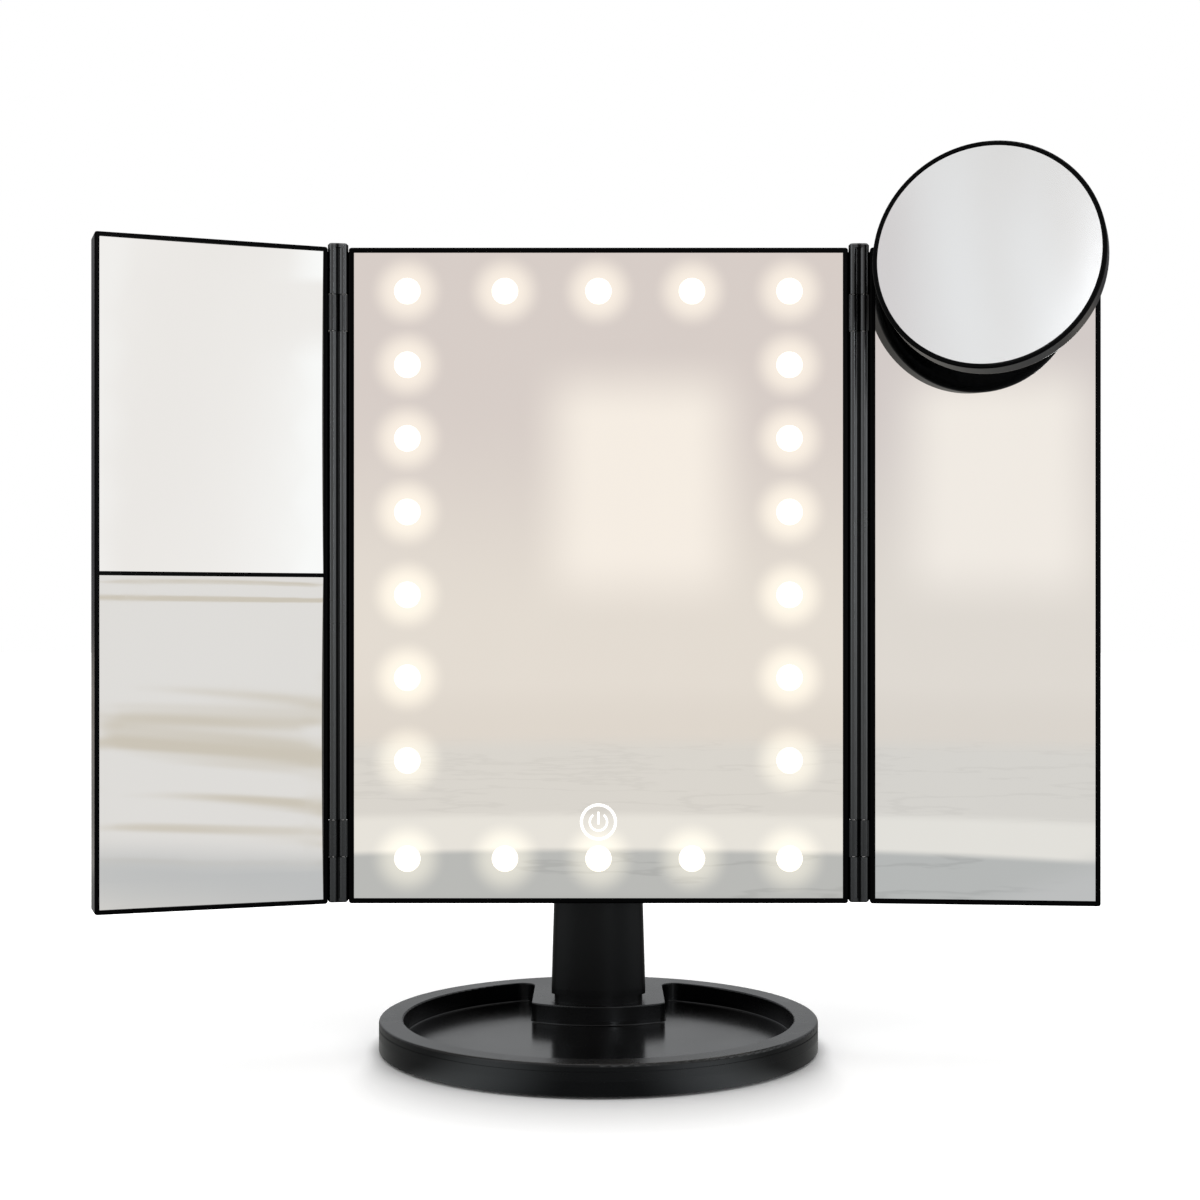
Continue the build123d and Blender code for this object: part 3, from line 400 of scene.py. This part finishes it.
# ------------------------------------------------------------------ materials
def moulded_plastic(name, colour, roughness, grain=0.06, grain_scale=1800.0, specular=0.30,
                    top_specular=None, knuckles=(), ridges=(), floor_gloss=None):
    """Satin moulded plastic: a fine even grain, slow drifts of sheen and faint wipe marks.

    Painted sheen: faces that look up can have a sheen of their own, and so can knuckles around
    upright axes, and ridges in front of such axes, where a stripe of it draws a bright line.
    floor_gloss is a height and the roughness below it.
    """
    made, shader = material(name)
    fine = shader.noise(grain_scale, detail=3.0, roughness=0.6)
    drift = shader.noise(38.0, detail=3.0, roughness=0.55)
    wipes = shader.noise(120.0, detail=4.0, roughness=0.6, stretch=(1.0, 1.0, 0.22))
    sheen = shader.maths("MULTIPLY_ADD", drift, drift_spread, roughness - drift_spread / 2)
    marks = shader.ramp(wipes, *wipe_span, 0.0, -wipe_polish)
    sheen = shader.maths("ADD", sheen, marks)
    if floor_gloss:
        height, glossy = floor_gloss
        up = shader.split(shader.coordinates())["Z"]
        change = shader.ramp(up, height, height + gloss_step, glossy - roughness, 0.0)
        sheen = shader.maths("ADD", sheen, change)
    # painted sheen: the knuckles shine more than the rest of the same plastic
    if knuckles:
        specular = shader.near_axes(knuckles, knuckle_reach, knuckle_soft, specular,
                                    knuckle_specular)
    # painted highlight: a stripe of sheen along each ridge draws a bright line, with little
    # between
    if ridges:
        specular = shader.near_axes(ridges, ridge_reach, ridge_soft, specular,
                                    ridge_specular, across=(1.0, 0.0, 0.0))
    # painted sheen and shade: faces that look up take their own specular level
    if top_specular is not None:
        facing = shader.split(shader.coordinates("Normal"))["Z"]
        specular = shader.ramp(facing, *facing_up, specular, top_specular)
    tone = shader.mix(drift, shade(colour, 1 - tone_spread), shade(colour, 1 + tone_spread))
    shader.surface(Base_Color=tone, Roughness=sheen, IOR=plastic_ior,
                   Specular_IOR_Level=specular, Specular_Tint=sheen_tint,
                   Normal=shader.bump(fine, grain, grain_depth))
    return made


def rubber(name, colour):
    made, shader = material(name)
    speck = shader.noise(2600.0, detail=4.0, roughness=0.7)
    tone = shader.mix(speck, shade(colour, 0.75), shade(colour, 1.3))
    shader.surface(Base_Color=tone, Roughness=shader.vary(speck, 0.72, 0.88),
                   Normal=shader.bump(speck, strength=0.5, distance=0.00008))
    return made


def drawn_metal(name, colour, roughness, stretch=drawn_along_z):
    """Bright or plated metal with fine lines along the way it was drawn."""
    made, shader = material(name)
    lines = shader.noise(4200.0, detail=3.0, roughness=0.6, stretch=stretch)
    cloud = shader.noise(260.0)
    tone = shader.mix(cloud, shade(colour, 0.85), colour)
    rough = shader.vary(lines, roughness - 0.06, roughness + 0.08)
    shader.surface(Base_Color=tone, Metallic=1.0, Roughness=rough,
                   Normal=shader.bump(lines, strength=0.15, distance=0.00002))
    return made


def lamp_halo(shader, points):
    """1 up to the rims of the lit windows, and 0 from where their painted glow ends."""
    place = shader.coordinates()
    glow = None
    for point in points:
        halo = shader.ramp(shader.distance(place, point), window_radius,
                           window_radius + glow_reach, 1.0, 0.0)
        glow = halo if glow is None else shader.maths("MAXIMUM", glow, halo)
    return glow


def silvered_glass(name, silver, blur=silver_blur, glow_points=()):
    """Mirror glass: bright silvering, faint smears, and a painted glow around the lamps' windows.
    """
    made, shader = material(name)
    smear = shader.noise(26.0, detail=5.0, roughness=0.62, stretch=(1.0, 1.0, 0.5))
    looks = {"Base_Color": shader.mix(smear, shade(silver, smear_shade), silver),
             "Metallic": 1.0,
             "Roughness": shader.vary(smear, blur, blur + smear_blur, smear_span)}
    if glow_points:
        # painted glow: the silvered glass itself glows around the lit windows
        looks["Emission_Color"] = glow_warm
        looks["Emission_Strength"] = shader.maths("MULTIPLY", lamp_halo(shader, glow_points),
                                                  glow_strength)
    shader.surface(**looks)
    return made


def lit(name, colour, edge_colour, strength):
    """A lit opal face, whitest in the middle. The vertex value "edge" is 1 at the rim."""
    made, shader = material(name)
    edge = shader.node("ShaderNodeAttribute", attribute_name="edge").outputs["Fac"]
    frost = shader.noise(3000.0)
    rim = shader.ramp(edge, *rim_span, 0.0, rim_share)
    shader.surface(Base_Color=opal_face, Roughness=shader.vary(frost, 0.45, 0.6),
                   Emission_Color=shader.mix(rim, colour, edge_colour),
                   Emission_Strength=strength)
    return made


def opal_sheet(name):
    """Milky plastic that spreads the lamps' light."""
    made, shader = material(name)
    tone = shader.mix(shader.noise(90.0), opal_dim, opal_bright)
    shader.surface(Base_Color=tone, Roughness=0.35, Subsurface_Weight=0.2)
    return made


def circuit_board(name):
    """Green solder mask with a fine pattern of tracks under it."""
    made, shader = material(name)
    tracks = shader.node("ShaderNodeTexWave", wave_type="BANDS", bands_direction="X")
    tracks.inputs["Scale"].default_value = track_scale
    tracks.inputs["Distortion"].default_value = track_wander
    shader.feed(tracks.inputs["Vector"], shader.coordinates())
    line = shader.ramp(tracks.outputs["Fac"], *track_span)
    shader.surface(Base_Color=shader.mix(line, mask_green, track_green), Roughness=0.32,
                   Normal=shader.bump(line, strength=0.3, distance=0.00003))
    return made


def closed_foam(name):
    """Foam tape with small closed cells."""
    made, shader = material(name)
    cells = shader.node("ShaderNodeTexVoronoi")
    cells.inputs["Scale"].default_value = 2200.0
    shader.feed(cells.inputs["Vector"], shader.coordinates())
    depth = cells.outputs["Distance"]
    shader.surface(Base_Color=shader.mix(depth, foam_dark, foam_light), Roughness=0.9,
                   Normal=shader.bump(depth, strength=0.6, distance=0.0001))
    return made


def soft_vinyl(name):
    """Clear soft vinyl with a little haze."""
    made, shader = material(name)
    haze = shader.noise(300.0, detail=3.0)
    shader.surface(Base_Color=vinyl_clear, Roughness=shader.vary(haze, 0.12, 0.28),
                   Transmission_Weight=0.75, IOR=1.50)
    return made


def powder_coat(name, colour):
    """Baked paint with a fine orange peel."""
    made, shader = material(name)
    pebble = shader.noise(1500.0)
    tone = shader.mix(pebble, shade(colour, 0.8), shade(colour, 1.2))
    rough = shader.vary(pebble, 0.42, 0.55, span=(0.35, 0.65))
    shader.surface(Base_Color=tone, Roughness=rough,
                   Normal=shader.bump(pebble, strength=0.35, distance=0.0001))
    return made


def cell_sleeve(name):
    """A battery cell's plain dark sleeve, scuffed along its length."""
    made, shader = material(name)
    scuff = shader.noise(700.0, detail=3.0, roughness=0.6, stretch=(1.0, 1.0, 0.3))
    shader.surface(Base_Color=shader.mix(scuff, sleeve_dark, sleeve_light),
                   Roughness=shader.vary(scuff, 0.22, 0.36), Coat_Weight=0.4)
    return made


# ------------------------------------------------------------------ lit pieces
def island_centres(mesh_object):
    """The centre of each separate solid in a CAD node."""
    work = bmesh.new()
    work.from_mesh(mesh_object.data)
    bmesh.ops.remove_doubles(work, verts=work.verts, dist=weld_gap)
    work.verts.ensure_lookup_table()
    seen = set()
    centres = []
    for start in work.verts:
        if start.index in seen:
            continue
        seen.add(start.index)
        queue = [start]
        for vert in queue:
            for edge in vert.link_edges:
                other = edge.other_vert(vert)
                if other.index not in seen:
                    seen.add(other.index)
                    queue.append(other)
        low = [min(v.co[i] for v in queue) for i in range(3)]
        high = [max(v.co[i] for v in queue) for i in range(3)]
        centres.append(Vector([(a + b) / 2 for a, b in zip(low, high)]))
    work.free()
    return centres


def as_object(name, work, smooth=False):
    """Turns a bmesh into an object in the scene."""
    bmesh.ops.recalc_face_normals(work, faces=work.faces)
    mesh = bpy.data.meshes.new(name)
    work.to_mesh(mesh)
    work.free()
    for face in mesh.polygons:
        face.use_smooth = smooth
    made = bpy.data.objects.new(name, mesh)
    bpy.context.scene.collection.objects.link(made)
    return made


def disc_ring(work, layer, centre, share, y):
    """One ring of a lit window's vertices, at a share of its radius."""
    ring = []
    for step in range(window_segments):
        angle = 2 * math.pi * step / window_segments
        vert = work.verts.new((centre.x + window_radius * share * math.cos(angle), y,
                               centre.z + window_radius * share * math.sin(angle)))
        vert[layer] = share
        ring.append(vert)
    return ring


def domed_disc(work, layer, centre, front):
    """A lit window that faces -Y with a low crown, closed at the back, on the glass's front."""
    middle = work.verts.new((centre.x, front - window_proud, centre.z))
    middle[layer] = 0.0
    rings = [disc_ring(work, layer, centre, share,
                       front - window_proud * (1.0 - share ** 2 * window_fall))
             for share in window_rings]
    rings.append(disc_ring(work, layer, centre, 1.0, front))
    spans = [(step, (step + 1) % window_segments) for step in range(window_segments)]
    for step, after in spans:
        work.faces.new((middle, rings[0][step], rings[0][after]))
    for inner, outer in zip(rings, rings[1:]):
        for step, after in spans:
            work.faces.new((inner[step], outer[step], outer[after], inner[after]))
    work.faces.new(rings[-1])


def lamp_windows(points, front):
    work = bmesh.new()
    layer = work.verts.layers.float.new("edge")
    for point in points:
        domed_disc(work, layer, point, front)
    return as_object("lamp_windows", work, smooth=True)


def stroke(work, points, width, front, back, closed=False):
    """A flat stroke of even width along points in XZ, raised from back to front."""
    count = len(points)
    rows = []
    for index, point in enumerate(points):
        before = points[(index - 1) % count] if closed or index > 0 else point
        after = points[(index + 1) % count] if closed or index < count - 1 else point
        along = (Vector(after) - Vector(before)).normalized()
        side = Vector((-along.y, along.x)) * (width / 2)
        inner = Vector(point) + side
        outer = Vector(point) - side
        rows.append([work.verts.new((p.x, y, p.y))
                     for p, y in ((inner, front), (outer, front), (outer, back), (inner, back))])
    spans = count if closed else count - 1
    for index in range(spans):
        first, second = rows[index], rows[(index + 1) % count]
        for corner in range(4):
            work.faces.new((first[corner], first[(corner + 1) % 4],
                            second[(corner + 1) % 4], second[corner]))
    if not closed:
        work.faces.new(rows[0])
        work.faces.new(rows[-1])


def circle_points(centre, radius, start, end, steps):
    """Points on an arc from start to end, in degrees from straight up, clockwise."""
    made = []
    for step in range(steps + 1):
        angle = math.radians(start + (end - start) * step / steps)
        made.append((centre[0] + radius * math.sin(angle), centre[1] + radius * math.cos(angle)))
    return made


def touch_symbol(front):
    """The lit power symbol: a ring, an open arc and a bar."""
    low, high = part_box("touch_pad")
    centre = ((low[0] + high[0]) / 2, (low[2] + high[2]) / 2)
    raised = front - symbol_proud
    work = bmesh.new()
    ring = circle_points(centre, symbol_radius, 0, 360, symbol_steps)[:-1]
    stroke(work, ring, symbol_stroke, raised, front, closed=True)
    arc = circle_points(centre, arc_radius, arc_opening, 360 - arc_opening, arc_steps)
    stroke(work, arc, arc_stroke, raised, front)
    bar = [(centre[0], centre[1] + bar_top), (centre[0], centre[1] + bar_bottom)]
    stroke(work, bar, arc_stroke, raised, front)
    return as_object("touch_symbol", work)


def lit_pieces():
    """Makes the lit windows and the symbol, and returns the windows' middles on the glass."""
    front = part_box("centre_mirror")[0][1]
    points = [Vector((point.x, front, point.z)) for point in island_centres(nodes["leds"])]
    windows = lamp_windows(points, front)
    windows.data.materials.append(lit("lamp_window", lamp_white, lamp_edge, window_strength))
    symbol = touch_symbol(front)
    symbol.data.materials.append(lit("symbol_light", symbol_white, symbol_white, strength=1.0))
    for piece in (windows, symbol):
        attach(piece, "head")
    return points


# ------------------------------------------------------------------ dressing of the CAD nodes
def hinge_axes():
    """The upright axes of both double hinges, as (x, y)."""
    pins = island_centres(nodes["left_hinge_pins"]) + island_centres(nodes["right_hinge_pins"])
    return sorted({(round(pin.x, 5), round(pin.y, 5)) for pin in pins})


def dress_stand():
    gloss_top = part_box("column_front_shell")[0][2] - gloss_drop
    dress(moulded_plastic("base_plastic", deep_black, roughness=0.27, specular=0.28,
                          top_specular=0.32, floor_gloss=(gloss_top, tray_roughness)),
          "base_tray")
    dress(moulded_plastic("column_plastic", deep_black, roughness=0.30, specular=0.24),
          "column_front_shell", "column_rear_shell")
    dress(rubber("pad_rubber", pad_black), "anti_slip_pad")
    dress(drawn_metal("weight_steel", weight_grey, roughness=0.42), "base_weights")


def dress_frames():
    axes = hinge_axes()
    dress(moulded_plastic("satin_plastic", deep_black, roughness=0.26, specular=0.03,
                          top_specular=0.02, knuckles=axes),
          "centre_frame", "left_wing_frame", "right_wing_frame")
    dress(moulded_plastic("hinge_plastic", deep_black, roughness=0.26, specular=0.06,
                          top_specular=0.02, ridges=axes),
          "left_hinge_strip", "left_hinge_caps", "right_hinge_strip", "right_hinge_caps")
    dress(moulded_plastic("bezel_plastic", deep_black, roughness=0.30, grain=0.03,
                          specular=0.05),
          "round_mirror_shell", "round_mirror_bezel")


def dress_covers_and_fittings():
    dress(moulded_plastic("grained_plastic", black_plastic, roughness=0.46, grain=0.5,
                          grain_scale=1500.0),
          "centre_back_cover", "left_back_cover", "right_back_cover", "base_cover",
          "battery_door", "battery_tray")
    dress(moulded_plastic("fitting_plastic", black_plastic, roughness=0.38, grain=0.15),
          "tilt_bracket", "tilt_caps", "power_switch_knob", "socket_collar", "cup_stem")
    dress(moulded_plastic("natural_nylon", natural_nylon, roughness=0.42),
          "tilt_washers", "socket_liner", "round_mirror_spacer")
    dress(soft_vinyl("cup_vinyl"), "suction_cup")
    dress(closed_foam("foam_tape"), "left_mirror_foam", "right_mirror_foam")


def dress_metal():
    dress(drawn_metal("black_screws", screw_black, roughness=0.34),
          "base_cover_screws", "column_screws", "bracket_screws", "centre_cover_screws",
          "left_cover_screws", "right_cover_screws")
    dress(drawn_metal("bright_pins", bright_steel, roughness=0.24),
          "left_hinge_pins", "right_hinge_pins")
    dress(drawn_metal("bright_shaft", bright_steel, roughness=0.26, stretch=drawn_along_x),
          "tilt_shaft")
    dress(powder_coat("lug_coat", lug_black), "tilt_lug")


def dress_electrics():
    dress(cell_sleeve("cell_sleeve"), "battery_cells")
    dress(drawn_metal("nickel_plate", nickel, roughness=0.22, stretch=even),
          "battery_contacts", "usb_socket", "power_switch_body")
    dress(rubber("lead_insulation", lead_red), "battery_lead", "lamp_leads")
    dress(circuit_board("circuit_board"), "led_boards", "control_board", "socket_board")
    dress(lit("led_phosphor", lamp_white, lamp_white, strength=1.0), "leds")
    dress(drawn_metal("copper_foil", copper, roughness=0.30, stretch=even), "touch_pad")
    dress(opal_sheet("opal_sheet"), "light_diffuser")


def dress_mirrors(glow_points):
    dress(silvered_glass("lit_mirror", warm_silver, glow_points=glow_points), "centre_mirror")
    dress(silvered_glass("wing_mirror", cool_silver),
          "left_upper_mirror", "left_lower_mirror", "right_mirror")
    dress(silvered_glass("round_mirror", plain_silver, blur=round_blur), "round_mirror_glass")


# ------------------------------------------------------------------ studio
def seen_directly(paths, shader):
    """1 where the camera looks, also through clear vinyl, and 0 for light and gloss."""
    return shader.maths("ADD", paths["Is Camera Ray"], paths["Is Transmission Ray"], clamp=True)


def counter_tone(shader, side, distance):
    """A pale marble counter in front of the object, with a shelf on its right."""
    veins = shader.noise(3.2, detail=5.0, roughness=0.62)
    vein = shader.band(veins, *vein_band, vein_soft)
    front = shader.mix(shader.maths("MULTIPLY", vein, vein_share_front), counter_front,
                       shade(counter_front, vein_shade_front))
    top = shader.mix(shader.maths("MULTIPLY", vein, vein_share_top), counter_top,
                     shade(counter_top, vein_shade_top))
    tone = shader.mix(shader.ramp(distance, *edge_start), front, counter_edge)
    tone = shader.mix(shader.ramp(distance, *edge_end), tone, top)
    tone = shader.mix(shader.ramp(distance, *far_start), tone, counter_far)
    tone = shader.mix(shader.ramp(distance, *wall_start), tone, wall_low)
    things = shader.ramp(shader.noise(9.0), *shelf_things)
    shelf = shader.mix(things, shelf_far, shelf_dark)
    shelf = shader.mix(shader.ramp(distance, *shelf_turn), shelf_near, shelf)
    return shader.mix(shader.band(side, *shelf_side, shelf_soft), tone, shelf)


def painted_shadow_lift(shader, back, distance):
    """Painted shadow: how much the floor glows to look white, none at the base and all far off.
    """
    reach = shader.ramp(back, *shadow_turn, shadow_front, shadow_side)
    outward = shader.maths("DIVIDE", shader.maths("SUBTRACT", distance, shadow_edge), reach)
    near = shader.ramp(outward, 0.0, 1.0, 0.0, shadow_share)
    wide = shader.ramp(distance, *shadow_wide, 0.0, 1.0 - shadow_share)
    return shader.maths("ADD", near, wide)


def counter_strength(shader, side, back, distance, hop):
    """Painted shade and highlight, as gloss shows the floor; hop is the way from gloss to floor.
    """
    beside = shader.ramp(shader.maths("ABSOLUTE", side), *near_side)
    before = shader.ramp(back, *near_front, 1.0, 0.0)
    # painted highlight: the floor glows only for gloss close above it, which is the base's wall
    close = shader.ramp(hop, *near_hop, near_glow - near_shade, 0.0)
    glow = shader.maths("MULTIPLY", shader.maths("MULTIPLY", beside, before), close)
    # painted shade on the floor near the object, as gloss shows it
    return shader.maths("ADD", glow, shader.ramp(distance, *near_reach, near_shade, 1.0))


def floor_material():
    """A pale floor the camera sees as white, with real and painted shadow, and gloss as a
    counter.
    """
    made, shader = material("pale_floor")
    place = shader.coordinates()
    distance = shader.distance(place, (0.0, 0.0, 0.0))
    parts = shader.split(place)
    side = shader.maths("DIVIDE", parts["X"], distance)
    back = shader.maths("DIVIDE", parts["Y"], distance)
    paths = shader.node("ShaderNodeLightPath").outputs
    # painted shadow: the floor's white glow is held back near the base
    lift = shader.maths("MULTIPLY", seen_directly(paths, shader),
                        painted_shadow_lift(shader, back, distance))
    floor = shader.principled(Base_Color=shader.mix(shader.noise(6.0), floor_dim, floor_pale),
                              Roughness=0.85, Specular_IOR_Level=0.1, Emission_Color=white,
                              Emission_Strength=lift)
    counter = shader.node("ShaderNodeEmission")
    shader.feed(counter.inputs["Color"], counter_tone(shader, side, distance))
    shader.feed(counter.inputs["Strength"],
                counter_strength(shader, side, back, distance, paths["Ray Length"]))
    choice = shader.node("ShaderNodeMixShader")
    shader.feed(choice.inputs[0], paths["Is Glossy Ray"])
    shader.feed(choice.inputs[1], floor.outputs["BSDF"])
    shader.feed(choice.inputs[2], counter.outputs["Emission"])
    shader.output(choice.outputs["Shader"])
    return made


def make_floor():
    work = bmesh.new()
    work.faces.new([work.verts.new((x * floor_reach, y * floor_reach, 0.0))
                    for x, y in ((-1, -1), (1, -1), (1, 1), (-1, 1))])
    floor = as_object("floor", work)
    floor.data.materials.append(floor_material())


def room_tone(shader):
    """The room by direction: a warm wall with a patch of light, curtains and a window."""
    way = shader.coordinates("Generated")
    side, back, up = shader.split(way)
    aside = shader.maths("ABSOLUTE", side)
    tone = shader.mix(shader.ramp(up, *wall_rise), wall_low, wall_high)
    patch = shader.maths("MULTIPLY", shader.band(side, *patch_side, patch_soft),
                         shader.band(up, *patch_up, patch_soft))
    tone = shader.mix(patch, tone, patch_light)
    drape = shader.noise(1.0, detail=1.0, stretch=curtain_stretch, over=way)
    curtain = shader.mix(shader.ramp(drape, *curtain_tones), curtain_fold, curtain_light)
    tone = shader.mix(shader.ramp(aside, *curtain_start), tone, curtain)
    panes = shader.maths("MULTIPLY", shader.band(side, *pane_side, pane_soft),
                         shader.band(up, *pane_up, pane_soft))
    mullions = shader.maths("MAXIMUM", shader.band(side, *mullion_side, mullion_soft),
                            shader.band(up, *mullion_up, mullion_soft))
    panes = shader.maths("MULTIPLY", panes, shader.maths("SUBTRACT", 1.0, mullions))
    tone = shader.mix(panes, tone, pane_light)
    tone = shader.mix(shader.ramp(back, *behind_start), tone, wall_behind)
    flags = shader.maths("MULTIPLY", shader.ramp(aside, *flag_side),
                         shader.ramp(back, *flag_back))
    flags = shader.maths("MULTIPLY", flags, shader.ramp(up, *flag_top, 1.0, 0.0))
    return shader.mix(flags, tone, flag_grey)


def make_world():
    """White behind the object, and a soft room for mirrors and gloss to show."""
    world = bpy.data.worlds.new("studio")
    bpy.context.scene.world = world
    world.use_nodes = True
    shader = Shader(world.node_tree)
    paths = shader.node("ShaderNodeLightPath").outputs
    tone = shader.mix(paths["Is Glossy Ray"], room_light, room_tone(shader))
    tone = shader.mix(seen_directly(paths, shader), tone, white)
    background = shader.node("ShaderNodeBackground")
    shader.feed(background.inputs["Color"], tone)
    background.inputs["Strength"].default_value = 1.0
    shader.output(background.outputs["Background"], "ShaderNodeOutputWorld")


def area_light(name, place, target, size, power):
    data = bpy.data.lights.new(name, "AREA")
    data.shape = "RECTANGLE"
    data.size, data.size_y = size
    data.energy = power
    light = bpy.data.objects.new(name, data)
    light.location = place
    aim = Vector(target) - Vector(place)
    light.rotation_euler = aim.to_track_quat("-Z", "Y").to_euler()
    bpy.context.scene.collection.objects.link(light)


def make_lights():
    """Softboxes over and beside the object, and a narrow one that draws lines on the hinges."""
    area_light("top_softbox", top_place, light_aim, top_size, top_power)
    x, y, z = beside_place
    for name, across in (("left_softbox", -x), ("right_softbox", x)):
        area_light(name, (across, y, z), light_aim, beside_size, beside_power)
    area_light("strip_light", strip_place, (0.0, 0.0, strip_place[2]), strip_size, strip_power)


make_camera()
window_middles = lit_pieces()
dress_stand()
dress_frames()
dress_covers_and_fittings()
dress_metal()
dress_electrics()
dress_mirrors(window_middles)
make_floor()
make_world()
make_lights()
bpy.context.scene.view_settings.view_transform = "Standard"
